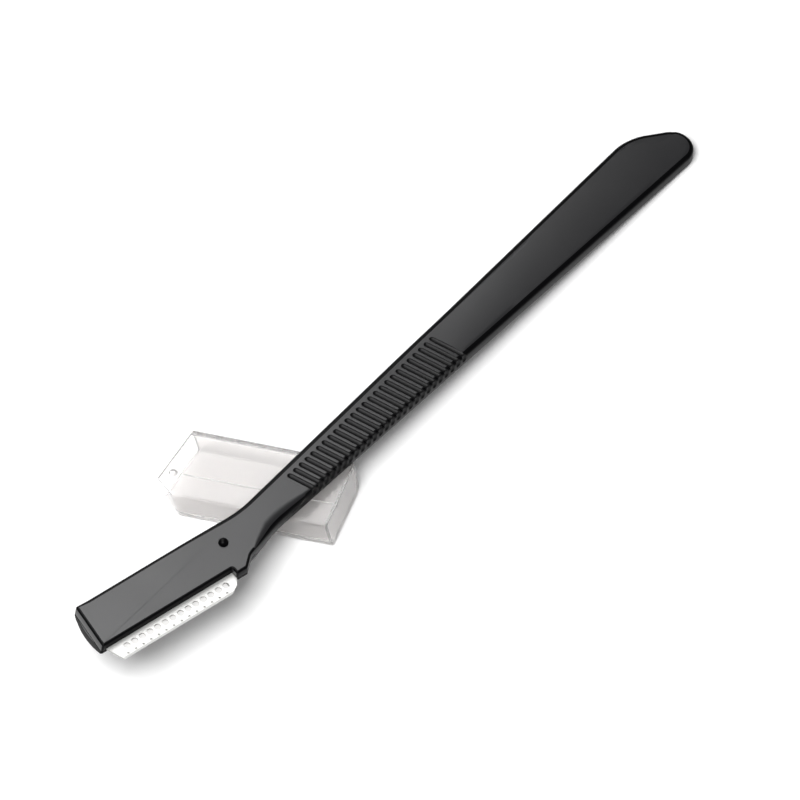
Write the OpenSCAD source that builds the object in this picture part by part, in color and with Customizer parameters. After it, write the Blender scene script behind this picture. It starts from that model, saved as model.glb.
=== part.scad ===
// Eyebrow razor with its clear cap taken off and lying under the neck.
// All sizes are in millimetres. The razor's own frame has its origin at the knee,
// where the handle bends into the head: X runs to the tail, Y to the spine side,
// and the flat front face is Z = 0. The whole lies on a table at Z = 0, and the
// origin is the middle of its footprint.

/* [Handle] */
// Length from the knee to the end of the tail
tail_reach = 117.3; // [90:0.1:140]
// Thickness of the handle and neck
handle_t = 2.8; // [2.3:0.1:3.6]
// Width of the handle at the knee
knee_w = 6.72; // [5.5:0.02:8]
// Width of the handle at the tail
tail_w = 11.72; // [8.5:0.02:14]
// Length of the slanted corner of the tail, along the handle
tail_cut = 7.5; // [5:0.1:10]
// Height of the slanted corner of the tail, across the handle
tail_drop = 5.96; // [4.5:0.02:6.5]
// Radius where the upper edge turns into the slanted corner
tail_upper_r = 9; // [3:0.1:10]
// Radius where the slanted corner turns into the tail's end
tail_end_r = 4; // [2:0.1:5]
// Radius of the tail's lower corner
tail_lower_r = 3.5; // [2:0.1:4]
// Radius of the bend on the spine side of the knee
knee_r = 20; // [8:1:40]
// Radius of the bend on the blade side of the neck
neck_r = 18; // [8:1:26]

/* [Grip] */
// Number of grip grooves on each face
groove_count = 26; // [12:1:30]
// Distance from one groove to the next
groove_pitch = 1.586; // [1.2:0.002:1.9]
// Distance from the knee to the first groove
groove_from = 11.3; // [8:0.1:16]
// Distance from the spine edge to the round start of a groove
groove_inset = 2.2; // [1.4:0.1:3]
// Radius of a groove's half-round section
groove_r = 0.5; // [0.3:0.01:0.55]
// Slant of the grooves away from square to the handle, in degrees
groove_slant = 8.3; // [0:0.1:14]
// How far the front grooves run down the blade-side wall
groove_drop = 1.5; // [0.8:0.1:1.7]

/* [Head] */
// Angle between the handle and the head, in degrees
head_angle = 11.9; // [6:0.1:16]
// Length of the head from the knee to its blade corner
head_l = 36.7; // [32:0.1:42]
// How much shorter the head is on the spine side
head_slant = 1.9; // [0:0.1:3]
// Width of the head's front face
head_w = 9.5; // [8.6:0.05:11]
// Greatest thickness of the head, front face to back
head_t = 3.7; // [3.4:0.1:4.6]
// Thickness of the head at the blade
head_edge_t = 2.3; // [2.2:0.05:2.6]
// Thickness of the front half, down to the joint with the back cover
front_t = 1.6; // [1.4:0.05:1.7]
// How much further the back of the head reaches than the front
end_rake = 0.6; // [0:0.05:0.8]
// Distance from the spine edge to the thickest place of the head
crest_in = 4; // [3:0.1:5]
// Radius of the spine edge of the head's back
spine_r = 2; // [1:0.1:2]
// Distance from the knee to the heel, where the blade starts
heel_at = 8.8; // [8:0.1:10]
// Length of the heel, from the blade to the neck
heel_l = 2.3; // [1.4:0.1:2.5]
// How far the heel stands out beside the blade
heel_step = 1.4; // [1:0.05:1.8]
// Length of the heel's slope up to the neck
heel_slope_l = 2.2; // [1.5:0.1:2.5]
// Height of that slope
heel_slope_h = 1.9; // [1.2:0.1:2.2]
// Radius of the heel's corner
heel_r = 0.4; // [0.2:0.05:0.6]
// Radius of the corners at the head's end
end_r = 0.35; // [0.2:0.05:0.8]
// Distance from the knee to the start of the back cover
cover_from = 3; // [1.5:0.1:3.6]
// Length over which the back cover rises to its full thickness
cover_slope_l = 2.4; // [1.5:0.1:2.6]
// Gap between the end of the back cover and the handle
cover_gap = 0.05; // [0.02:0.01:0.15]

/* [Detent] */
// Distance from the knee to the nubs that hold the cap
nub_at = 6.7; // [6.3:0.1:7.4]
// Distance from the spine edge to the nubs
nub_in = 4.25; // [3.6:0.05:5.25]
// Diameter of a nub
nub_d = 1.84; // [1.4:0.02:2.2]
// Height of a nub
nub_h = 0.85; // [0.7:0.05:0.9]

/* [Blade] */
// Length of the blade
blade_l = 22.8; // [20:0.1:23]
// Width of the blade
blade_w = 6.7; // [6:0.1:7.2]
// Thickness of the blade
blade_t = 0.15; // [0.1:0.01:0.2]
// Width of the ground bevel at the cutting edge
bevel_w = 1; // [0.5:0.1:1.5]
// Thickness left at the cutting edge
edge_t = 0.02; // [0.01:0.01:0.04]

/* [Guard] */
// Length of the guard
guard_l = 27.05; // [24:0.05:27.1]
// How far the guard stands out of the front face's edge
guard_out = 3.5; // [3.2:0.05:3.8]
// Depth of the guard inside the head
guard_in = 3.9; // [3.5:0.1:4.5]
// Thickness of the guard's foil
foil_t = 0.12; // [0.1:0.01:0.15]
// Gap between the blade and the foil on each face
foil_gap = 0.045; // [0.03:0.005:0.08]
// Half height of the guard at its nose
nose_half = 0.2; // [0.18:0.01:0.23]
// Length of the nose in front of that
nose_l = 0.3; // [0.2:0.05:0.4]
// Length of the slanted end of the guard on the heel side
guard_heel_cut = 2.5; // [1:0.05:2.5]
// Length of the slanted end of the guard at the head's end
guard_end_cut = 1.2; // [0.6:0.05:2]
// Number of holes in each row
hole_count = 14; // [8:1:15]
// Distance from the ends of the guard to the rows of holes
hole_side = 2.045; // [1.9:0.005:2.6]
// Diameter of the large holes, which show the blade
window_d = 1.24; // [0.9:0.02:1.24]
// Diameter of the small holes near the edge
pore_d = 0.44; // [0.3:0.02:0.5]
// Distance from the guard's nose to the small holes
pore_in = 0.56; // [0.5:0.01:0.7]
// Distance between the two rows of holes
row_gap = 1.42; // [1.2:0.01:1.6]

/* [Locating pins] */
// Diameter of the pins of the back cover
pin_d = 1.5; // [1:0.1:1.8]
// Radial clearance of the pins in their holes
pin_gap = 0.05; // [0.03:0.01:0.08]
// Height of the pins above the joint
pin_h = 0.8; // [0.6:0.05:0.9]
// Distance from the spine edge to the pins
pin_in = 7.1; // [6.8:0.1:7.4]
// Distance from the knee to the first pin
pin_at = 15; // [13:0.5:17]
// Distance between the pins
pin_span = 15; // [10:0.5:17]

/* [Cap] */
// Wall of the cap
cap_wall = 0.6; // [0.5:0.05:0.9]
// Wall at the closed end of the cap
cap_end_wall = 0.65; // [0.6:0.05:1.5]
// Clearance at the sides and end of the head
cap_gap = 0.15; // [0.1:0.05:0.4]
// Clearance over and under the head, which the nubs take up
cap_lift = 0.55; // [0.5:0.05:0.65]
// How far the point of the mouth reaches past the nubs
point_past = 2.3; // [2.2:0.1:3.6]
// Distance from the spine side of the cap to that point
point_in = 3.1; // [2:0.1:7]
// Length of the mouth's point
point_l = 3.6; // [2:0.1:6]
// How much the cap's ends lean: the bottom lies this far behind the top
cap_rake = 1.2; // [0:0.1:1.3]
// Radius of the cap's long outer edges
cap_edge_r = 0.55; // [0.3:0.05:0.6]
// Radius of the blade-side corner of the closed end
cap_far_r = 3; // [1:0.1:3.5]
// Radius of the other corners
cap_near_r = 0.8; // [0.5:0.1:1.2]
// Depth of the dimples that take the nubs
dimple_t = 0.35; // [0.3:0.05:0.4]
// Width of the fine line along the inside of the cap
crease_w = 0.3; // [0.2:0.05:0.5]
// Depth of that line
crease_t = 0.12; // [0.05:0.01:0.2]

/* [Pose] */
// Direction of the cap on the table, in degrees from the handle
cap_turn = 116.4; // [105:0.1:130]
// Place of the cap's dimples along the handle, from the knee
cap_x = 0.8; // [-2:0.1:4]
// Place of the cap's dimples across the handle, from the knee's spine edge
cap_y = 15.8; // [12:0.1:18]
// Gap between the razor and the cap that it lies on
rest_gap = 0.1; // [0.05:0.01:0.3]

/* [Hidden] */
$fn = 48;
// Overrun of every cut past the surface that it leaves
over = tail_reach / 200;
// A size larger than the whole razor, for half spaces
wide = 2 * (tail_reach + head_l);
// Steps of a rounded corner, for each 90 degrees
corner_steps = 10;
black = [0.07, 0.07, 0.08];
black_back = [0.1, 0.1, 0.11];
steel = [0.78, 0.79, 0.8];
foil = [0.9, 0.9, 0.91];
clear = [0.93, 0.9, 0.9, 0.5];

// Half width of the handle at a distance from the knee
function half_w(x) = knee_w / 2 + (tail_w - knee_w) / 2 * x / tail_reach;
// A point of the head frame in the razor's frame
function head_pt(x, y) = [
    x * cos(head_angle) + y * sin(head_angle),
    knee_w / 2 - x * sin(head_angle) + y * cos(head_angle)];

function unit(v) = v / norm(v);
// Points of the arc that rounds corner b between a and c
function corner(a, b, c, r) = let(
    u = unit(a - b),
    v = unit(c - b),
    half = acos(u * v) / 2,
    m = b + unit(u + v) * r / sin(half),
    p = b + u * r / tan(half) - m,
    q = b + v * r / tan(half) - m,
    from = atan2(p.y, p.x),
    turn = atan2(p.x * q.y - p.y * q.x, p * q),
    steps = max(2, ceil(abs(turn) / 90 * corner_steps)))
    [for (i = [0:steps]) m + r * [cos(from + turn * i / steps), sin(from + turn * i / steps)]];
// A closed outline from corners, each written [place, radius]
function rounded(c) = [for (i = [0:len(c) - 1])
    each c[i][1] == 0 ? [c[i][0]] :
        corner(c[(i + len(c) - 1) % len(c)][0], c[i][0], c[(i + 1) % len(c)][0], c[i][1])];

// Razor outline
tail_half = tail_w / 2;
heel_in = heel_at - heel_l;
heel_w = head_w + heel_step;
razor_outline = rounded([
    [[tail_reach - tail_cut, half_w(tail_reach - tail_cut)], tail_upper_r],
    [[0, knee_w / 2], knee_r],
    [head_pt(head_slant - head_l - end_rake, 0), end_r],
    [head_pt(-head_l - end_rake, -head_w), end_r],
    [head_pt(-heel_at, -head_w), end_r / 2],
    [head_pt(-heel_at, -heel_w), heel_r],
    [head_pt(-heel_in, -heel_w), heel_r],
    [head_pt(heel_slope_l - heel_in, heel_slope_h - heel_w), heel_slope_l],
    [[knee_w / 3, -half_w(knee_w / 3)], neck_r],
    [[tail_reach, -tail_half], tail_lower_r],
    [[tail_reach, tail_half - tail_drop], tail_end_r]]);

// Round back of the head
head_sag = head_t - head_edge_t;
head_r = ((head_w - crest_in) ^ 2 + head_sag ^ 2) / (2 * head_sag);
slant_angle = atan(head_slant / head_w);
rake_angle = atan(end_rake / head_t);

// Stack of blade and guard, centred on the joint between the halves of the head
stack_half = blade_t / 2 + foil_gap + foil_t;
slot_half = stack_half + foil_gap / 2;
guard_from = heel_at + foil_gap;
guard_to = guard_from + guard_l;
guard_top = head_w - guard_in;
guard_reach = head_w + guard_out;
hole_pitch = (guard_l - 2 * hole_side) / hole_count;
blade_reach = guard_reach - nose_l;
blade_from = guard_from + (guard_l - blade_l) / 2;
hole_r = pin_d / 2 + pin_gap;

// Cap, in the head's frame as it sits on the head
cap_front = cap_lift + cap_wall;
cap_back = -head_t - cap_front;
cap_t = cap_front - cap_back;
cap_spine = cap_gap + cap_wall;
cap_blade = -guard_reach - cap_gap - cap_wall;
cap_closed = -head_l - cap_gap - cap_end_wall - cap_rake * (head_t + cap_front) / cap_t;
tip_x = -nub_at + point_past;
tip_y = cap_spine - point_in;
side_x = tip_x - point_l;
nub_r = (nub_d / 2) ^ 2 / (2 * nub_h) + nub_h / 2;
dimple_r = nub_r + foil_gap;

// Pose: the handle leans on the cap, with its tail on the table
// The cap's far edge crosses under the handle's blade-side edge at rest_x
cap_dir = [cos(cap_turn), sin(cap_turn)];
cap_side = [sin(cap_turn), -cos(cap_turn)];
far_pt = [cap_x, cap_y + knee_w / 2] + cap_side * (-nub_in - cap_blade);
cross_half = half_w(far_pt.x + far_pt.y / tan(180 - cap_turn));
rest_x = far_pt.x - cap_dir.x / cap_dir.y * (far_pt.y + cross_half);
rest_h = cap_t + rest_gap;
first_lean = atan(rest_h / (tail_reach - rest_x));
lean = atan(rest_h / (tail_reach * cos(first_lean) - handle_t * sin(first_lean) - rest_x));
knee_z = tail_reach * sin(lean) + handle_t * cos(lean);

// Footprint of the razor and cap, for the origin
function laid(p, z) = [p.x * cos(lean) + z * sin(lean), p.y];
function cap_laid(p) = let(d = p - [-nub_at, -nub_in])
    [cap_x + d.x * cap_dir.x - d.y * cap_dir.y, cap_y + knee_w / 2 + d.x * cap_dir.y + d.y * cap_dir.x];
cap_corners = [[tip_x, tip_y], [side_x, cap_spine], [side_x, cap_blade],
    [cap_closed, cap_blade], [cap_closed + head_slant, cap_spine]];
foot = concat(
    [for (p = razor_outline) laid(p, 0)],
    [for (p = razor_outline) laid(p, -handle_t)],
    [laid(head_pt(-head_l - end_rake, -head_w), -head_t)],
    [laid(head_pt(-guard_from - guard_heel_cut, -guard_reach), -front_t)],
    [for (p = cap_corners) cap_laid(p)]);
foot_x = [for (p = foot) p.x];
foot_y = [for (p = foot) p.y];
middle = [(min(foot_x) + max(foot_x)) / 2, (min(foot_y) + max(foot_y)) / 2];

// Place the razor on the table
module in_pose() {
    translate([-middle.x, -middle.y, knee_z])
        rotate([0, lean, 0])
            children();
}

// The head's frame: X along the head towards the knee, Y = 0 on the spine edge
module in_head() {
    translate([0, knee_w / 2, 0])
        rotate([0, 0, -head_angle])
            children();
}

// A slice of the razor's outline between two heights
module slice(low, high) {
    translate([0, 0, low])
        linear_extrude(high - low)
            polygon(razor_outline);
}

// The half space of the head's frame where X is above x
module beyond(x) {
    in_head()
        translate([x, -wide / 2, -wide / 2])
            cube([wide, wide, wide]);
}

// The round back of the head, along its whole length
module head_round() {
    in_head()
        intersection() {
            translate([-wide / 2, -crest_in, head_r - head_t])
                rotate([0, 90, 0])
                    cylinder(r = head_r, h = wide, $fn = 96);
            translate([-wide / 2, 0, 0])
                rotate([90, 0, 90])
                    linear_extrude(wide)
                        polygon(rounded([
                            [[0, 0], 0],
                            [[-2 * head_w, 0], 0],
                            [[-2 * head_w, -head_t], 0],
                            [[0, -head_t], spine_r]]));
        }
}

// Cut that gives the head its slanted and raked end
module end_cut() {
    in_head()
        translate([-head_l, -head_w, 0])
            rotate([0, 0, -slant_angle])
                rotate([0, rake_angle, 0])
                    translate([-wide, -wide / 2, -wide / 2])
                        cube([wide, wide, wide]);
}

// Slot between the halves of the head for the blade and guard
module blade_slot() {
    in_head()
        translate([-guard_to - foil_gap, 0, -front_t])
            rotate([90, 0, 90])
                linear_extrude(guard_l + 2 * foil_gap)
                    translate([-guard_reach, -slot_half])
                        square([guard_out + guard_in + foil_gap, 2 * slot_half]);
}

// Cylinders on the axes of the locating pins
module at_pins(r, low, high) {
    in_head()
        for (i = [0:1])
            translate([-pin_at - i * pin_span, -pin_in, low])
                cylinder(r = r, h = high - low);
}

// One nub, a dome on the plane Z = 0
module nub() {
    translate([0, 0, nub_h - nub_r])
        sphere(r = nub_r);
}

// Grip grooves across one face, with round starts, that run down the wall by drop
module grooves(z, drop) {
    taper = (tail_w - knee_w) / 2 / tail_reach;
    for (i = [0:groove_count - 1])
        let(x = groove_from + i * groove_pitch, y = half_w(x) - groove_inset,
            l = (y + half_w(x)) / (cos(groove_slant) - taper * sin(groove_slant)))
            translate([x, y, z])
                rotate([0, 0, groove_slant]) {
                    rotate([90, 0, 0])
                        cylinder(r = groove_r, h = l + tail_w, $fn = 24);
                    sphere(r = groove_r, $fn = 24);
                    if (drop > 0)
                        translate([0, -l, -drop]) {
                            cylinder(r = groove_r, h = drop, $fn = 24);
                            sphere(r = groove_r, $fn = 24);
                        }
                }
}

// Moulded handle with grip, neck and the front half of the head
module handle() {
    color(black)
        in_pose()
            difference() {
                union() {
                    slice(-front_t, 0);
                    intersection() {
                        slice(-handle_t, -front_t);
                        beyond(-cover_from);
                    }
                    in_head()
                        translate([-nub_at, -nub_in, 0])
                            nub();
                }
                grooves(0, groove_drop);
                grooves(-handle_t, 0);
                blade_slot();
                at_pins(hole_r, -front_t - over, -front_t + pin_h + pin_gap);
                end_cut();
            }
}

// Convex back cover of the head, with the locating pins
module head_cover() {
    color(black_back)
        in_pose() {
            difference() {
                union() {
                    intersection() {
                        slice(-head_t, -front_t);
                        head_round();
                    }
                    difference() {
                        slice(-head_edge_t, -front_t);
                        in_head()
                            translate([-wide / 2, -crest_in, -head_t])
                                cube([wide, wide, head_t]);
                    }
                    in_head()
                        translate([-nub_at, -nub_in, -back_depth(nub_in)])
                            rotate([180, 0, 0])
                                nub();
                }
                beyond(-cover_from - cover_gap);
                in_head()
                    translate([-cover_from, 0, -handle_t])
                        rotate([0, -atan((head_t - handle_t) / cover_slope_l), 0])
                            translate([-wide / 2, -wide / 2, -wide])
                                cube([wide, wide, wide]);
                blade_slot();
                end_cut();
            }
            at_pins(pin_d / 2, -front_t - slot_half - over, -front_t + pin_h);
        }
}

// Depth of the round back below the front face, at a distance from the spine
function back_depth(y) = head_t - head_r + sqrt(head_r ^ 2 - (y - crest_in) ^ 2);

// Steel blade with a ground edge and two locating holes
module blade() {
    color(steel)
        in_pose()
            difference() {
                in_head()
                    translate([-blade_from - blade_l, 0, -front_t])
                        rotate([90, 0, 90])
                            linear_extrude(blade_l)
                                polygon([
                                    [blade_w - blade_reach, blade_t / 2],
                                    [bevel_w - blade_reach, blade_t / 2],
                                    [-blade_reach, edge_t / 2],
                                    [-blade_reach, -edge_t / 2],
                                    [bevel_w - blade_reach, -blade_t / 2],
                                    [blade_w - blade_reach, -blade_t / 2]]);
                at_pins(hole_r, -front_t - over, -front_t + over);
            }
}

// Outer or inner outline of the guard's folded section
function fold(in, top) = [
    [-top, stack_half - in],
    [-head_w, stack_half - in],
    [nose_l - guard_reach, nose_half - in],
    [in - guard_reach, nose_half / 3 - in / 3],
    [in - guard_reach, in / 3 - nose_half / 3],
    [nose_l - guard_reach, in - nose_half],
    [-head_w, in - stack_half],
    [-top, in - stack_half]];

// Perforated foil guard, folded over the cutting edge
module guard() {
    color(foil)
        in_pose()
            difference() {
                in_head()
                    intersection() {
                        translate([-guard_to, 0, -front_t])
                            rotate([90, 0, 90])
                                linear_extrude(guard_l)
                                    difference() {
                                        polygon(fold(0, guard_top));
                                        polygon(fold(foil_t, guard_top - over));
                                    }
                        translate([0, 0, -front_t - 2 * stack_half])
                            linear_extrude(4 * stack_half)
                                polygon([
                                    [-guard_from, -guard_top + over],
                                    [-guard_to, -guard_top + over],
                                    [-guard_to, -head_w],
                                    [guard_end_cut - guard_to, -guard_reach],
                                    [-guard_from - guard_heel_cut, -guard_reach],
                                    [-guard_from - guard_heel_cut / 3, guard_heel_cut / 2.5 - guard_reach],
                                    [-guard_from, -heel_w]]);
                    }
                at_pins(hole_r, -front_t - over, -front_t + over);
                in_head()
                    for (i = [0:hole_count - 1])
                        let(x = -(guard_from + guard_to) / 2 + (i - (hole_count - 1) / 2) * hole_pitch) {
                            translate([x - hole_pitch / 4, pore_in - guard_reach, -front_t - over])
                                cylinder(d = pore_d, h = 2 * over, $fn = 24);
                            translate([x + hole_pitch / 4, pore_in + row_gap - guard_reach, -front_t - over])
                                cylinder(d = window_d, h = 2 * over, $fn = 24);
                        }
            }
}

// Plan of the cap or of its inside, open towards the knee
module cap_plan(inset, end_inset) {
    polygon(rounded([
        [[point_l, cap_spine - inset], 0],
        [[cap_closed + head_slant + end_inset, cap_spine - inset], cap_near_r - inset],
        [[cap_closed + end_inset, cap_blade + inset], cap_far_r - inset],
        [[point_l, cap_blade + inset], 0]]));
}

// A bar with rounded long edges, as wide and thick as the cap or its inside
module cap_bar(inset) {
    translate([-wide / 2, 0, 0])
        rotate([90, 0, 90])
            linear_extrude(wide)
                polygon(rounded([
                    [[cap_spine - inset, cap_front - inset], cap_edge_r],
                    [[cap_blade + inset, cap_front - inset], cap_edge_r],
                    [[cap_blade + inset, cap_back + inset], cap_edge_r],
                    [[cap_spine - inset, cap_back + inset], cap_edge_r]]));
}

// Cut for the closed end, whose top edge stands back by the rake
module closed_cut(end_inset) {
    translate([cap_closed + end_inset, cap_blade, cap_back])
        rotate([0, 0, -atan(head_slant / (cap_spine - cap_blade))])
            rotate([0, atan(cap_rake / cap_t), 0])
                translate([-wide, -wide / 2, -wide / 2])
                    cube([wide, wide, wide]);
}

// Cut for one edge of the mouth, from its point to the side wall at y
module mouth_cut(y) {
    turn = atan2(y > tip_y ? point_l : -point_l, abs(y - tip_y));
    translate([tip_x, tip_y, cap_front])
        rotate([0, 0, turn])
            rotate([0, atan(cap_rake * cos(turn) / cap_t), 0])
                translate([0, -wide / 2, -wide / 2])
                    cube([wide, wide, wide]);
}

// Clear cap, drawn in the head's frame and then laid on the table
module cap() {
    color(clear)
        translate([cap_x - middle.x, cap_y + knee_w / 2 - middle.y, -cap_back])
            rotate([0, 0, cap_turn])
                translate([nub_at, nub_in, 0])
                    difference() {
                        intersection() {
                            translate([0, 0, cap_back])
                                linear_extrude(cap_t)
                                    cap_plan(0, 0);
                            cap_bar(0);
                        }
                        closed_cut(0);
                        mouth_cut(cap_spine);
                        mouth_cut(cap_blade);
                        difference() {
                            intersection() {
                                translate([0, 0, cap_back])
                                    linear_extrude(cap_t)
                                        cap_plan(cap_wall, cap_end_wall);
                                cap_bar(cap_wall);
                            }
                            closed_cut(cap_end_wall);
                        }
                        for (side = [0, 1])
                            translate([-nub_at, -nub_in, side ? cap_back + cap_wall : cap_front - cap_wall])
                                rotate([side ? 180 : 0, 0, 0])
                                    translate([0, 0, dimple_t - dimple_r])
                                        sphere(r = dimple_r);
                        translate([cap_closed + 2 * cap_end_wall + cap_rake, -nub_in, cap_front - cap_wall])
                            rotate([0, 90, 0])
                                linear_extrude(-nub_at - nub_d - cap_closed - 2 * cap_end_wall - cap_rake)
                                    polygon([[-crease_t, 0], [crease_t, crease_w], [crease_t, -crease_w]]);
                    }
}

handle();
head_cover();
blade();
guard();
cap();
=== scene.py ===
import bpy, bmesh, math
from mathutils import Matrix, Vector


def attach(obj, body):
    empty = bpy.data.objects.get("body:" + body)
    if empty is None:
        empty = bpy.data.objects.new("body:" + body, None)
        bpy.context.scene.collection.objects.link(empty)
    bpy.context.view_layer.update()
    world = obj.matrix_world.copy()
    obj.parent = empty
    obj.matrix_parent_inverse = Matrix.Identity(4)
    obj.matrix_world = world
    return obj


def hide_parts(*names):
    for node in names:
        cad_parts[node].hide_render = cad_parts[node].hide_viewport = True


# Eyebrow razor with its clear cap taken off, on a white table.
# The two mouldings are drawn in mm in the razor's own frame and placed in metres at the end. That frame has the
# knee at its origin, the tail along x, the spine side along y and the flat face at z = 0.

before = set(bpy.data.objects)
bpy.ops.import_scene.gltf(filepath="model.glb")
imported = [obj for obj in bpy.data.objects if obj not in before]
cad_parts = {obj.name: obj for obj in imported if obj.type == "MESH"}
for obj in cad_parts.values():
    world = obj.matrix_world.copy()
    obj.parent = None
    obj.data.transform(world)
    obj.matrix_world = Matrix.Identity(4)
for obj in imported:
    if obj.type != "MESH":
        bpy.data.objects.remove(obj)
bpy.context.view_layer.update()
scene = bpy.context.scene
print("frame loaded")

# how the razor lies, in mm and degrees
pose = {"middleX": 39.219, "middleY": 6.20076, "kneeZ": 10.3846, "lean": 3.71019,
        "kneeWidth": 6.72, "headAngle": 11.9}


def move(x, y, z):
    return Matrix.Translation((x, y, z))


def turn(angle, axis):
    return Matrix.Rotation(math.radians(angle), 4, axis)


mm = Matrix.Scale(0.001, 4)
razorPlace = mm @ move(-pose["middleX"], -pose["middleY"], pose["kneeZ"]) @ turn(pose["lean"], "Y")
toHead = move(0, pose["kneeWidth"] / 2, 0) @ turn(-pose["headAngle"], "Z")  # head's frame in the razor's
fromHead = toHead.inverted()


# camera: long lens, 55 degrees up, from the head's side; distances in metres, but the look point is in mm of the
# razor's frame
cameraSet = {"azimuth": -50.2, "elevation": 55, "distance": 1.5, "nearest": 0.05, "look": (36.76, -2.32, 0),
             "pixelsPerMm": 5.72, "frameWidth": 800, "sensorMm": 36}
az, el = math.radians(cameraSet["azimuth"]), math.radians(cameraSet["elevation"])
towards = Vector((math.sin(az) * math.cos(el), -math.cos(az) * math.cos(el), math.sin(el)))
camData = bpy.data.cameras.new("camera")
camData.sensor_width = cameraSet["sensorMm"]
camData.lens = (cameraSet["sensorMm"] * cameraSet["distance"] * 1000 * cameraSet["pixelsPerMm"]
                / cameraSet["frameWidth"])
camData.clip_start = cameraSet["nearest"]
camera = bpy.data.objects.new("camera", camData)
camera.location = razorPlace @ Vector(cameraSet["look"]) + towards * cameraSet["distance"]
camera.rotation_euler = towards.to_track_quat("Z", "Y").to_euler()
scene.collection.objects.link(camera)
scene.camera = camera
scene.view_settings.view_transform = "Standard"
print("camera placed")


# materials

def hexColor(code):
    parts = [int(code[i:i + 2], 16) / 255 for i in (1, 3, 5)]
    return [p / 12.92 if p <= 0.04045 else ((p + 0.055) / 1.055) ** 2.4 for p in parts] + [1]


def addNode(tree, kind, settings=None, links=None):
    node = tree.nodes.new(kind)
    for key, value in (settings or {}).items():
        if key in node.inputs.keys():
            node.inputs[key].default_value = value
        else:
            setattr(node, key, value)
    for key, source in (links or {}).items():
        tree.links.new(source, node.inputs[key])
    return node


def startMaterial(name, surface):
    material = bpy.data.materials.new(name)
    material.use_nodes = True
    tree = material.node_tree
    shader = tree.nodes["Principled BSDF"]
    for key, value in surface.items():
        shader.inputs[key].default_value = value
    place = addNode(tree, "ShaderNodeTexCoord").outputs["Object"]
    return material, tree, shader, place


def varySurface(tree, shader, look, glossFrom, bumpFrom):
    # one pattern moves the roughness a little to both sides, and one raises the surface
    rough, spread = look["rough"], look["spread"]
    gloss = addNode(tree, "ShaderNodeMapRange", {"To Min": rough - spread, "To Max": rough + spread},
                    {"Value": glossFrom.outputs["Fac"]})
    bump = addNode(tree, "ShaderNodeBump", {"Strength": look["bump"], "Distance": look["reliefMm"] / 1000},
                   {"Height": bumpFrom.outputs["Fac"]})
    tree.links.new(gloss.outputs["Result"], shader.inputs["Roughness"])
    tree.links.new(bump.outputs["Normal"], shader.inputs["Normal"])


def blackAbs(name, look):
    # a fine grain breaks up the reflection, and a slow cloud changes the gloss; the mould's real grain of
    # about 0.03 mm is drawn at 0.12 to 0.2 mm, so that it shows
    material, tree, shader, place = startMaterial(name, {"Base Color": hexColor(look["color"]), "IOR": 1.53,
                                                         "Roughness": look["rough"],
                                                         "Specular IOR Level": look["specular"]})
    grain = addNode(tree, "ShaderNodeTexNoise", {"Scale": 1000 / look["grainMm"], "Detail": 2, "Roughness": 0.6},
                    {"Vector": place})
    cloud = addNode(tree, "ShaderNodeTexNoise", {"Scale": 1000 / look["cloudMm"], "Detail": 3}, {"Vector": place})
    varySurface(tree, shader, look, cloud, grain)
    return material


# moulded black ABS, finely spark-eroded: the flat faces turn the light into a soft grey sheen
satinAbs = blackAbs("satinBlackAbs", {"color": "#19191b", "rough": 0.32, "specular": 0.5, "grainMm": 0.12,
                                      "cloudMm": 9, "spread": 0.03, "bump": 0.25, "reliefMm": 0.02})
# the same ABS, darker and with hardly any sheen, put on the edges and walls: painted shade that draws them as a deep
# black outline
shadeEdgeAbs = blackAbs("paintedShadeBlackAbs", {"color": "#050506", "rough": 0.3, "specular": 0.06, "grainMm": 0.2,
                                        "cloudMm": 12, "spread": 0.02, "bump": 0.1, "reliefMm": 0.02})
# the same ABS, darker and duller, put in the grip grooves: painted shade in the recesses, with a weak light on one
# flank
shadeGrooveAbs = blackAbs("paintedGrooveShadeAbs", {"color": "#080809", "rough": 0.42, "specular": 0.16, "grainMm": 0.15,
                                             "cloudMm": 6, "spread": 0.04, "bump": 0.35, "reliefMm": 0.02})
print("materials made")


# mesh helpers; lengths in mm, the crease in degrees, the arc step in radians

meshSet = {"crease": 34, "arcStep": 0.16, "cutWithin": 1e-5, "mergeWithin": 1e-4, "mitreLimit": 0.7}


def settle(bm, name, place, body, materials, replaced):
    # puts the finished mesh in its place and hands it to the frame instead of its CAD node
    bmesh.ops.transform(bm, matrix=place, verts=bm.verts)
    data = bpy.data.meshes.new(name)
    bm.to_mesh(data)
    bm.free()
    for material in materials:
        data.materials.append(material)
    data.shade_smooth()
    data.set_sharp_from_angle(angle=math.radians(meshSet["crease"]))
    piece = bpy.data.objects.new(name, data)
    scene.collection.objects.link(piece)
    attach(piece, body)
    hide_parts(replaced)
    print(name, len(data.polygons), "faces")


def asObject(bm, name):
    data = bpy.data.meshes.new(name)
    bm.to_mesh(data)
    bm.free()
    for material in (satinAbs, shadeEdgeAbs, shadeGrooveAbs):
        data.materials.append(material)
    thing = bpy.data.objects.new(name, data)
    scene.collection.objects.link(thing)
    return thing


def carve(bm, joined, cutters):
    # joins one mesh and cuts the other away, on objects that are only there for it
    things = [asObject(bm, "blank"), asObject(joined, "joined"), asObject(cutters, "cutters")]
    for thing, operation in zip(things[1:], ("UNION", "DIFFERENCE")):
        step = things[0].modifiers.new(operation.lower(), "BOOLEAN")
        step.operation = operation
        step.solver = "EXACT"
        step.object = thing
    done = things[0].evaluated_get(bpy.context.evaluated_depsgraph_get())
    carved = bmesh.new()
    carved.from_mesh(done.to_mesh())
    done.to_mesh_clear()
    for thing in things:
        data = thing.data
        bpy.data.objects.remove(thing)
        bpy.data.meshes.remove(data)
    return carved


def addTo(bm, other, place=None):
    data = bpy.data.meshes.new("part")
    other.to_mesh(data)
    other.free()
    if place:
        data.transform(place)
    bm.from_mesh(data)
    bpy.data.meshes.remove(data)


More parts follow.
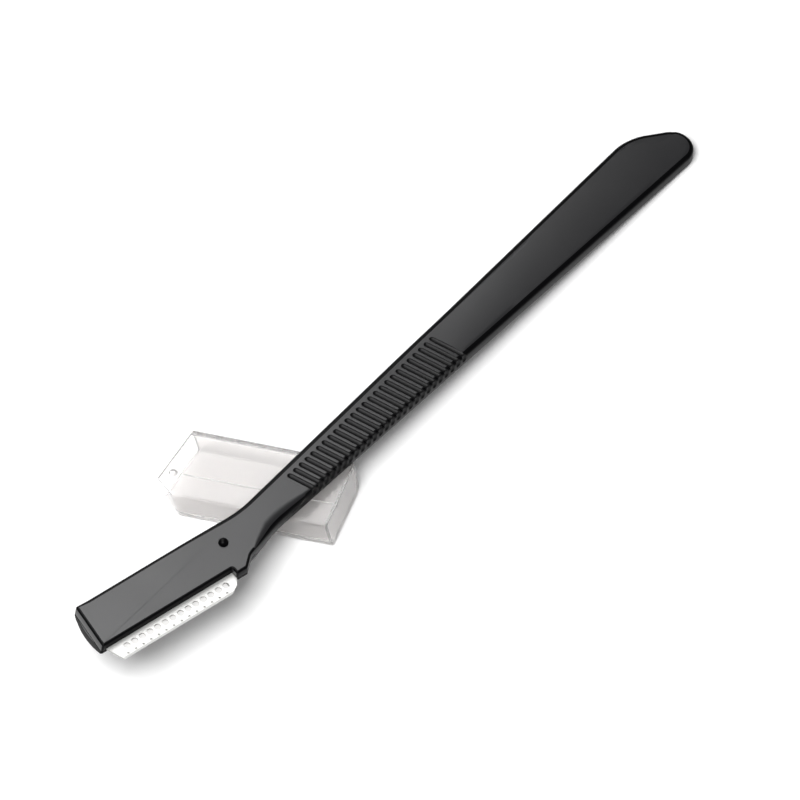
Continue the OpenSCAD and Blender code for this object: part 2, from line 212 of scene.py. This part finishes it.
def roundCorner(bm, vert, radius):
    a, b = [edge.other_vert(vert).co - vert.co for edge in vert.link_edges]
    opening = a.angle(b)
    steps = max(3, math.ceil((math.pi - opening) / meshSet["arcStep"]))
    bmesh.ops.bevel(bm, geom=[vert], offset=radius / math.tan(opening / 2), offset_type="OFFSET",
                    affect="VERTICES", segments=steps, profile=0.5, clamp_overlap=False, material=-1)


def cutFace(bm, faces, at, normal, clear=False):
    geom = list(faces) + list({e for f in faces for e in f.edges}) + list({v for f in faces for v in f.verts})
    bmesh.ops.bisect_plane(bm, geom=geom, dist=meshSet["cutWithin"], plane_co=at, plane_no=normal, clear_outer=clear)


def cutAcross(bm, faces, axis, place, matrix=None, clear=False):
    # a cut square to x or y, of the razor or of the frame that the matrix gives
    at, normal = Vector((0, 0, 0)), Vector((0, 0, 0))
    at[axis], normal[axis] = place, 1
    if matrix:
        at, normal = matrix @ at, matrix.to_3x3() @ normal
    cutFace(bm, faces, at, normal, clear)


def smooth(value, low, high):
    t = min(1, max(0, (value - low) / (high - low)))
    return t * t * (3 - 2 * t)


def growWall(bm, steps, place):
    # turns the one face into a wall that is grown ring by ring, and closes both ends
    bm.faces.ensure_lookup_table()
    face = bm.faces[0]
    mark = bm.verts.layers.int.new("mark")
    outline = [loop.vert for loop in face.loops]
    if face.normal.z < 0:
        outline.reverse()
    points = []
    for i, vert in enumerate(outline):
        vert[mark] = i
        before = (vert.co - outline[i - 1].co).normalized()
        after = (outline[(i + 1) % len(outline)].co - vert.co).normalized()
        along = (before + after).normalized()
        inward = Vector((-along.y, along.x, 0)) / max(meshSet["mitreLimit"], along.dot(after))
        points.append((vert.co.copy(), inward))
    ring = list(face.edges)
    bmesh.ops.delete(bm, geom=[face], context="FACES_ONLY")
    lowest = ring
    for number, step in enumerate(steps):
        if number:
            grown = bmesh.ops.extrude_edge_only(bm, edges=ring)["geom"]
            fresh = {g for g in grown if isinstance(g, bmesh.types.BMVert)}
            ring = [g for g in grown if isinstance(g, bmesh.types.BMEdge) and fresh.issuperset(g.verts)]
        else:
            fresh = set(outline)
        for vert in fresh:
            vert.co = place(*points[vert[mark]], step)
    ends = [bmesh.ops.contextual_create(bm, geom=edges)["faces"][0] for edges in (lowest, ring)]
    # every wall face starts with the darker edge material, painted shade for the walls and roundings
    for f in bm.faces:
        f.material_index = 1
    bmesh.ops.recalc_face_normals(bm, faces=bm.faces)
    return ends


# outline of the razor and what its two mouldings share; the head's places count from the knee and the spine edge

shape = {"tailReach": 117.3, "tailWidth": 11.72, "tailCut": 7.5, "tailDrop": 5.96,
         "tailUpperRadius": 9, "tailEndRadius": 4, "tailLowerRadius": 3.5,
         "kneeRadius": 20, "neckAt": 2.24, "neckRadius": 18,
         "headLength": 36.7, "headSlant": 1.3, "headWidth": 9.5, "headThick": 3.7, "endRadius": 0.4,
         "heelAt": 8.8, "heelLength": 2.3, "heelStep": 1.4, "heelRadius": 0.4, "notchRadius": 0.18,
         "slopeLength": 2.2, "slopeHeight": 1.9, "slopeRadius": 2.2,
         "coverFrom": 3, "joint": 1.6, "jointEdge": 0.1, "rake": 0.6, "rakeRun": (4.2, 2.4),
         "slotMiddle": (-22.37, -9.5), "slotSize": (27.14, 7.9, 0.525),
         "pinAt": (-15, -30), "pinIn": 7.1, "pinRadius": 0.75, "pinGap": 0.05, "pinHeight": 0.8, "pinFoot": 0.5,
         "pinRoom": 0.1,
         "nubAt": 6.7, "nubIn": 4.25, "nubRadius": 0.923, "nubSink": 0.073,
         "headCuts": (-34, -33, -32, -31, -28, -24, -20, -16, -12)}


def halfWidth(x):
    return pose["kneeWidth"] / 2 + (shape["tailWidth"] - pose["kneeWidth"]) / 2 * x / shape["tailReach"]


def headPoint(x, y):
    return toHead @ Vector((x, y, 0))


def headFacing(face):
    # how far a face looks along the head, -1 at its end
    return (fromHead.to_3x3() @ face.normal).x


def razorFace():
    # the flat outline as one face, its corners rounded one by one
    s = shape
    cutAt, halfTail, width = s["tailReach"] - s["tailCut"], s["tailWidth"] / 2, s["headWidth"]
    heelIn, heelY = s["heelLength"] - s["heelAt"], -width - s["heelStep"]
    corners = [(Vector((cutAt, halfWidth(cutAt), 0)), s["tailUpperRadius"]),
               (Vector((0, pose["kneeWidth"] / 2, 0)), s["kneeRadius"]),
               (headPoint(s["headSlant"] - s["headLength"], 0), s["endRadius"]),
               (headPoint(-s["headLength"], -width), s["endRadius"]),
               (headPoint(-s["heelAt"], -width), s["notchRadius"]),
               (headPoint(-s["heelAt"], heelY), s["heelRadius"]),
               (headPoint(heelIn, heelY), s["heelRadius"]),
               (headPoint(heelIn + s["slopeLength"], heelY + s["slopeHeight"]), s["slopeRadius"]),
               (Vector((s["neckAt"], -halfWidth(s["neckAt"]), 0)), s["neckRadius"]),
               (Vector((s["tailReach"], -halfTail, 0)), s["tailLowerRadius"]),
               (Vector((s["tailReach"], halfTail - s["tailDrop"], 0)), s["tailEndRadius"])]
    bm = bmesh.new()
    verts = [bm.verts.new(place) for place, radius in corners]
    bm.faces.new(verts)
    for vert, (place, radius) in zip(verts, corners):
        roundCorner(bm, vert, radius)
    return bm


def rakeShift(p):
    # the head's end leans: its back reaches further than its front
    s = shape
    q = fromHead @ Vector((p.x, p.y, 0))
    start, full = [s["headLength"] - run for run in s["rakeRun"]]
    lean = s["rake"] * -p.z / s["headThick"] * smooth(-q.x, start, full)
    return p + toHead.to_3x3() @ Vector((-lean, 0, 0))


def bladeSlot():
    # the room between the halves that the blade and its guard fill
    bm = bmesh.new()
    bmesh.ops.create_cube(bm, size=1)
    place = toHead @ move(*shape["slotMiddle"], -shape["joint"]) @ Matrix.Diagonal((*shape["slotSize"], 1))
    bmesh.ops.transform(bm, matrix=place, verts=bm.verts)
    return bm


def pins(radius, height):
    # the two pins that hold the blade, from inside the cover up into the handle
    bm = bmesh.new()
    foot = shape["pinFoot"]
    for x in shape["pinAt"]:
        place = toHead @ move(x, -shape["pinIn"], (height - foot) / 2 - shape["joint"])
        bmesh.ops.create_cone(bm, cap_ends=True, segments=32, radius1=radius, radius2=radius,
                              depth=height + foot, matrix=place)
    return bm


def makeNub(height):
    # the domed nub that the cap clicks over
    bm = bmesh.new()
    bmesh.ops.create_uvsphere(bm, u_segments=40, v_segments=24, radius=shape["nubRadius"])
    bmesh.ops.translate(bm, verts=bm.verts, vec=toHead @ Vector((-shape["nubAt"], -shape["nubIn"], height)))
    # the nub takes the darker edge material, painted shade that makes it show black
    for f in bm.faces:
        f.material_index = 1
    return bm


# handle: tail, grip, neck and the front half of the head
# edges are radii, runs are stretches over which something fades in, angles are degrees round an edge

handleSet = {"thick": 2.8, "edge": 0.9, "sideEdge": 0.62, "neckEdge": 0.95, "neckWide": 2.0, "headEdge": 0.62,
             "lowEdge": 0.32, "tightEdge": 0.32, "collar": 0.15, "crown": 0.3,
             "headFrom": -2, "spineStrip": -1, "cornerRun": 4, "headRun": (-14, -2), "neckRun": (-5.5, 0),
             "gripRun": (4, 13), "crownRun": (42, 60), "softRun": (-5, 13), "softUp": 0.85, "endFacing": -0.93,
             "frontAbove": -1,
             "lowAngles": (0, 30, 60, 90), "topAngles": (0, 15, 30, 45, 58, 70, 80, 90, 91),
             "grooves": 26, "pitch": 1.586, "from": 11.3, "inset": 2.3, "grooveRadius": 0.62, "grooveLift": 0.3,
             "slant": 8.3, "drop": 1.3, "overrun": 1, "ballAngles": (80, 60, 40, 20, 0),
             "bendAngles": (0, 18, 36, 54, 72, 90), "footAngles": (0, 20, 40, 60, 80),
             "tailCuts": range(4, 115, 3), "neckCuts": (-5, -3.01, -3, -1), "coverCuts": (-3.01, -3),
             "crownCuts": range(4, 117, 3), "widthCuts": [i * 0.8 for i in range(-7, 8)]}


def edgeRadius(p):
    # how wide and how deep the rounding is at a point of the outline
    h = handleSet
    q = fromHead @ p
    if q.x < h["headFrom"] and q.y > h["spineStrip"]:
        corner = smooth(q.x, shape["headSlant"] - shape["headLength"], h["cornerRun"] - shape["headLength"])
        r = h["tightEdge"] + (h["headEdge"] - h["tightEdge"]) * corner
        r += (h["edge"] - h["headEdge"]) * smooth(q.x, *h["headRun"])
        return r, r
    if q.x < h["headFrom"]:
        return h["tightEdge"], h["tightEdge"]
    if p.y > 0:
        return h["edge"], h["edge"]
    neck, grip = smooth(p.x, *h["neckRun"]), smooth(p.x, *h["gripRun"])
    deep = h["tightEdge"] + (h["neckEdge"] - h["tightEdge"]) * neck - (h["neckEdge"] - h["sideEdge"]) * grip
    return deep * (1 + (h["neckWide"] - 1) * neck * (1 - grip)), deep


def crownDrop(p):
    # past the grip the face is slightly domed
    return handleSet["crown"] * smooth(p.x, *handleSet["crownRun"]) * min(1, (p.y / halfWidth(max(0, p.x))) ** 2)


def handlePoint(p, inward, step):
    # step: top or low, and the degrees round the edge; past 90 lies a flat collar inside the top edge
    h = handleSet
    side, angle = step
    inHead = (fromHead @ p).x < -shape["coverFrom"] - 0.005  # half way between the two coverCuts
    a = math.radians(angle)
    if side == "top":
        wide, deep = edgeRadius(p)
        q = p + inward * (wide * (1 - math.cos(a)) if angle <= 90 else wide + h["collar"])
        q.z = -deep * (1 - math.sin(min(a, math.pi / 2))) - crownDrop(p)
    else:
        r = shape["jointEdge"] if inHead else h["lowEdge"]
        q = p + inward * r * (1 - math.sin(a))
        q.z = -(shape["joint"] if inHead else h["thick"]) + r * (1 - math.cos(a))
    return rakeShift(q)


def groove(x, drop):
    # one grip groove: a ball start, a straight run, and a bend down the wall
    h = handleSet
    r, bend, slant = h["grooveRadius"], h["sideEdge"], math.radians(h["slant"])
    taper = (shape["tailWidth"] - pose["kneeWidth"]) / 2 / shape["tailReach"]
    y = halfWidth(x) - h["inset"]
    length = (y + halfWidth(x)) / (math.cos(slant) - taper * math.sin(slant))
    rings = [(0, 0, 0, a) for a in h["ballAngles"]]  # way along the face, way down, tilt, degrees towards the pole
    if drop:
        for a in h["bendAngles"]:
            t = math.radians(a)
            rings.append((length - bend + bend * math.sin(t), bend * (1 - math.cos(t)), a, 0))
        rings += [(length, drop, 90, -a) for a in h["footAngles"]]
    else:
        rings.append((length + h["overrun"], 0, 0, 0))
    bm = bmesh.new()
    bmesh.ops.create_circle(bm, segments=24, radius=1, cap_ends=False)
    bmesh.ops.rotate(bm, verts=bm.verts, matrix=Matrix.Rotation(math.radians(90), 3, "X"))
    ring, last = list(bm.edges), Matrix.Identity(4)
    first = ring
    for number, (run, down, tilt, pole) in enumerate(rings):
        if number:
            grown = bmesh.ops.extrude_edge_only(bm, edges=ring)["geom"]
            fresh = [g for g in grown if isinstance(g, bmesh.types.BMVert)]
            ring = [g for g in grown if isinstance(g, bmesh.types.BMEdge) and set(fresh).issuperset(g.verts)]
        else:
            fresh = list(bm.verts)
        size, out = r * math.cos(math.radians(pole)), -r * math.sin(math.radians(pole))
        now = move(0, -run, -down) @ turn(tilt, "X") @ move(0, -out, h["grooveLift"]) @ Matrix.Scale(size, 4)
        bmesh.ops.transform(bm, matrix=now @ last.inverted(), verts=fresh)
        last = now
    for edges in (first, ring):
        bmesh.ops.contextual_create(bm, geom=edges)
    bmesh.ops.transform(bm, matrix=move(x, y, 0) @ turn(h["slant"], "Z"), verts=bm.verts)
    # the groove takes the darker groove material, painted shade in the recess
    for f in bm.faces:
        f.material_index = 2
    return bm


def makeHandle():
    h = handleSet
    bm = razorFace()
    for x in h["tailCuts"]:
        cutAcross(bm, bm.faces, 0, x)
    for x in shape["headCuts"] + h["neckCuts"]:
        cutAcross(bm, bm.faces, 0, x, toHead)
    bmesh.ops.dissolve_faces(bm, faces=bm.faces, use_verts=False)
    steps = [("low", a) for a in h["lowAngles"]] + [("top", a) for a in h["topAngles"]]
    low, top = growWall(bm, steps, handlePoint)
    for f in (low, top):
        f.material_index = 0

    # the neck's wide rounding and the head's end take the satin faces' material; the other walls keep the darker
    # edge material, painted shade
    softFaces = []
    for f in bm.faces:
        middle = f.calc_center_median()
        onNeck = middle.y < 0 and h["softRun"][0] < middle.x < h["softRun"][1]
        if f.material_index == 1 and f.normal.z > h["softUp"] and onNeck or headFacing(f) < h["endFacing"]:
            softFaces.append(f)

    # the back steps down to the joint where the cover starts, and the front is cut fine for its dome
    for x in h["coverCuts"]:
        back = [f for f in bm.faces if f.material_index == 0 and f.calc_center_median().z < h["frontAbove"]]
        cutAcross(bm, back, 0, x, toHead)
    for axis, places in ((0, h["crownCuts"]), (1, h["widthCuts"])):
        for place in places:
            front = [f for f in bm.faces if f.material_index == 0 and f.calc_center_median().z > h["frontAbove"]]
            cutAcross(bm, front, axis, place)
    for f in bm.faces:
        if f.material_index == 0 and f.calc_center_median().z > h["frontAbove"]:
            for vert in f.verts:
                vert.co.z = -crownDrop(vert.co)
    for f in softFaces:
        f.material_index = 0
    bmesh.ops.remove_doubles(bm, verts=bm.verts, dist=meshSet["mergeWithin"])
    bmesh.ops.recalc_face_normals(bm, faces=bm.faces)

    nub = makeNub(-shape["nubSink"])
    cutters = bmesh.new()
    for i in range(h["grooves"]):
        addTo(cutters, groove(h["from"] + i * h["pitch"], h["drop"]))
        addTo(cutters, groove(h["from"] + i * h["pitch"], 0), move(0, 0, -h["thick"] - 2 * h["grooveLift"]))
    bmesh.ops.recalc_face_normals(cutters, faces=cutters.faces)
    addTo(cutters, bladeSlot())
    addTo(cutters, pins(shape["pinRadius"] + shape["pinGap"], shape["pinHeight"] + shape["pinRoom"]))
    carved = carve(bm, nub, cutters)
    settle(carved, "mouldedHandle", razorPlace, "razor", [satinAbs, shadeEdgeAbs, shadeGrooveAbs], "handle")


makeHandle()


# head cover: the rounded back half of the head

coverSet = {"from": 3.05, "edge": 0.3, "spineEdge": 0.04, "spineStrip": -1, "lip": 0.06, "bandLip": 0.03,
            "crestIn": 4, "edgeThick": 2.3, "round": 11.5, "spineRound": 5, "slope": 2.4,
            "endBand": 1.25, "endFacing": -0.9, "jointAngles": (0, 30, 60, 90), "backAngles": (0, 20, 45, 70, 90),
            "backCuts": (-8,), "slopeCuts": (-5.4, -4.6, -3.8),
            "widthCuts": (-0.15, -0.4, -0.8, -1.3, -2, -3, -4, -5, -6, -7, -8, -9)}


def coverDepth(p):
    # how deep the back lies under the face: two arcs that meet at the crest, and a slope where the cover starts
    s, thick, thin = coverSet, shape["headThick"], handleSet["thick"]
    q = fromHead @ Vector((p.x, p.y, 0))
    if q.y < -shape["headWidth"]:
        depth = s["edgeThick"]
    else:
        r = s["round"] if q.y < -s["crestIn"] else s["spineRound"]
        depth = thick - r + math.sqrt(r ** 2 - (min(q.y, 0) + s["crestIn"]) ** 2)
    return min(depth, thin + (-s["from"] - q.x) * (thick - thin) / s["slope"])


def coverPoint(p, inward, step):
    # step: joint, band or back, and the degrees round the edge; the band is the ring below which the end keeps the
    # darker edge material, painted shade
    s, top = coverSet, shape["joint"] + shape["jointEdge"]
    side, angle = step
    a = math.radians(angle)
    if side == "joint":
        r = shape["jointEdge"]
        q = p + inward * r * (1 - math.sin(a))
        q.z = -shape["joint"] - r * (1 - math.cos(a))
    elif side == "band":
        q = p.copy()
        q.z = -max(coverDepth(q) - s["edge"] - s["endBand"], top + s["bandLip"])
    else:
        r = s["edge"] if (fromHead @ p).y < s["spineStrip"] else s["spineEdge"]
        q = p + inward * r * (1 - math.cos(a))
        q.z = -max(coverDepth(q) - r * (1 - math.sin(a)), top + s["lip"])
    return rakeShift(q)


def makeCover():
    s = coverSet
    bm = razorFace()
    cutAcross(bm, bm.faces, 0, -s["from"], toHead, True)
    for axis, places in ((0, shape["headCuts"] + s["slopeCuts"]), (1, s["widthCuts"])):
        for place in places:
            cutAcross(bm, bm.faces, axis, place, toHead)
    bmesh.ops.dissolve_faces(bm, faces=bm.faces, use_verts=False)
    steps = [("joint", a) for a in s["jointAngles"]] + [("band", 0)] + [("back", a) for a in s["backAngles"]]
    back = growWall(bm, steps, coverPoint)[1]
    back.material_index = 0
    lengthCuts = shape["headCuts"] + s["backCuts"] + s["slopeCuts"]
    widthCuts = s["widthCuts"] + (-shape["headWidth"],)
    for axis, places in ((0, lengthCuts), (1, widthCuts)):
        for place in places:
            cutAcross(bm, [f for f in bm.faces if f.material_index == 0], axis, place, toHead)
    for vert in {v for f in bm.faces if f.material_index == 0 for v in f.verts}:
        vert.co.z = -coverDepth(vert.co)
    # the end above the band takes the satin faces' material; below it and on the other walls the darker edge
    # material stays, as painted shade
    for f in bm.faces:
        middle = f.calc_center_median()
        if headFacing(f) < s["endFacing"] and middle.z > s["edge"] + s["endBand"] - coverDepth(middle):
            f.material_index = 0
    bmesh.ops.triangulate(bm, faces=[f for f in bm.faces if len(f.verts) > 4])
    bmesh.ops.remove_doubles(bm, verts=bm.verts, dist=meshSet["mergeWithin"])
    bmesh.ops.recalc_face_normals(bm, faces=bm.faces)
    nub = makeNub(shape["nubSink"] - shape["headThick"])
    addTo(nub, pins(shape["pinRadius"], shape["pinHeight"]))
    carved = carve(bm, nub, bladeSlot())
    settle(carved, "mouldedHeadCover", razorPlace, "razor", [satinAbs, shadeEdgeAbs], "head_cover")


makeCover()


# floor; the lift hides the contact faces, so that no dark air gap shows under the clear cap
stageSet = {"reach": 6, "lift": 0.00002, "color": "#fcfcfc", "rough": 0.9, "glow": 0.07, "worldStrength": 0.22}
floorMesh = bmesh.new()
bmesh.ops.create_grid(floorMesh, x_segments=1, y_segments=1, size=stageSet["reach"])
bmesh.ops.translate(floorMesh, verts=floorMesh.verts, vec=(0, 0, stageSet["lift"]))
floorData = bpy.data.meshes.new("floor")
floorMesh.to_mesh(floorData)
floorMesh.free()
floor = bpy.data.objects.new("floor", floorData)
scene.collection.objects.link(floor)

# matt white paper: an even ground, which glows a little for the camera, gloss and glass and so comes out white
paper, tree, shader, place = startMaterial("whitePaperSweep", {
    "Base Color": hexColor(stageSet["color"]), "Roughness": stageSet["rough"], "Specular IOR Level": 0,
    "Emission Color": (1, 1, 1, 1)})
rays = addNode(tree, "ShaderNodeLightPath").outputs
seen = addNode(tree, "ShaderNodeMath", {"operation": "MAXIMUM"},
               {0: rays["Is Camera Ray"], 1: rays["Is Glossy Ray"]})
seenToo = addNode(tree, "ShaderNodeMath", {"operation": "MAXIMUM"},
                  {0: seen.outputs[0], 1: rays["Is Transmission Ray"]})
glow = addNode(tree, "ShaderNodeMath", {"operation": "MULTIPLY"}, {0: seenToo.outputs[0]})
glow.inputs[1].default_value = stageSet["glow"]
tree.links.new(glow.outputs[0], shader.inputs["Emission Strength"])
floorData.materials.append(paper)

# a large softbox behind the camera's left shoulder, and a card that only the gloss sees; metres and watts
lights = {"keySoftbox": {"place": (-0.9, -0.05, 1.78), "size": 1.2, "watts": 47},
          "glossCard": {"place": (0.095, 0.245, 0.37), "size": 0.3, "watts": 1.5}}
for name, s in lights.items():
    data = bpy.data.lights.new(name, "AREA")
    data.shape = "SQUARE"
    data.size = s["size"]
    data.energy = s["watts"]
    lamp = bpy.data.objects.new(name, data)
    lamp.location = s["place"]
    lamp.rotation_euler = Vector(s["place"]).to_track_quat("Z", "Y").to_euler()
    lamp.visible_diffuse = name != "glossCard"
    scene.collection.objects.link(lamp)
world = bpy.data.worlds.new("studio")
world.use_nodes = True
background = world.node_tree.nodes["Background"]
background.inputs["Color"].default_value = (1, 1, 1, 1)
background.inputs["Strength"].default_value = stageSet["worldStrength"]
scene.world = world
print("floor and light placed")


# finishes of the CAD pieces that keep their shape

bladeLook = {"color": "#a9a8a7", "rough": 0.42, "spread": 0.08, "lineMm": 0.05, "runMm": 3, "bump": 0.2,
             "reliefMm": 0.01}
foilLook = {"color": "#dcdcda", "rough": 0.6, "spread": 0.05, "grainMm": 0.1, "bump": 0.2, "reliefMm": 0.01}
capLook = {"color": "#faf8f7", "tint": "#bcbcbc", "clear": 0.92, "rough": 0.12, "spread": 0.05, "cloudMm": 5,
           "waveMm": 9, "bump": 0.35, "reliefMm": 0.2}


def groundSteel(look):
    # ground stainless strip: grinding lines run along the edge, so the shine streaks lengthways; the real ones
    # are about 0.01 mm apart and are drawn at 0.05 mm, so that they show
    material, tree, shader, place = startMaterial("groundStainlessSteel", {
        "Base Color": hexColor(look["color"]), "Metallic": 1, "Roughness": look["rough"]})
    along = addNode(tree, "ShaderNodeMapping",
                    {"Rotation": (0, 0, math.radians(pose["headAngle"])),
                     "Scale": (1000 / look["runMm"], 1000 / look["lineMm"], 1000 / look["lineMm"])},
                    {"Vector": place})
    lines = addNode(tree, "ShaderNodeTexNoise", {"Scale": 1, "Detail": 3}, {"Vector": along.outputs["Vector"]})
    varySurface(tree, shader, look, lines, lines)
    return material


def etchedFoil(look):
    # etched stainless foil: an even matt white metal with a very fine grain, drawn at 0.1 mm so that it shows
    material, tree, shader, place = startMaterial("etchedStainlessFoil", {
        "Base Color": hexColor(look["color"]), "Metallic": 1, "Roughness": look["rough"]})
    grain = addNode(tree, "ShaderNodeTexNoise", {"Scale": 1000 / look["grainMm"], "Detail": 2}, {"Vector": place})
    varySurface(tree, shader, look, grain, grain)
    return material


def clearPolystyrene(look):
    # thin clear polystyrene moulding: a little milky and hazy from handling, with slow flow waves that bend
    # what lies behind it
    material, tree, shader, place = startMaterial("clearPolystyrene", {
        "Base Color": hexColor(look["color"]), "Roughness": look["rough"], "IOR": 1.59,
        "Specular Tint": hexColor(look["tint"]), "Transmission Weight": look["clear"]})
    cloud = addNode(tree, "ShaderNodeTexNoise", {"Scale": 1000 / look["cloudMm"], "Detail": 4}, {"Vector": place})
    wave = addNode(tree, "ShaderNodeTexNoise", {"Scale": 1000 / look["waveMm"], "Detail": 1}, {"Vector": place})
    varySurface(tree, shader, look, cloud, wave)
    return material


finishes = {"blade": groundSteel(bladeLook), "guard": etchedFoil(foilLook), "cap": clearPolystyrene(capLook)}
for name, material in finishes.items():
    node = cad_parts[name]
    node.data.materials.clear()
    node.data.materials.append(material)
print("blade, guard and cap finished")
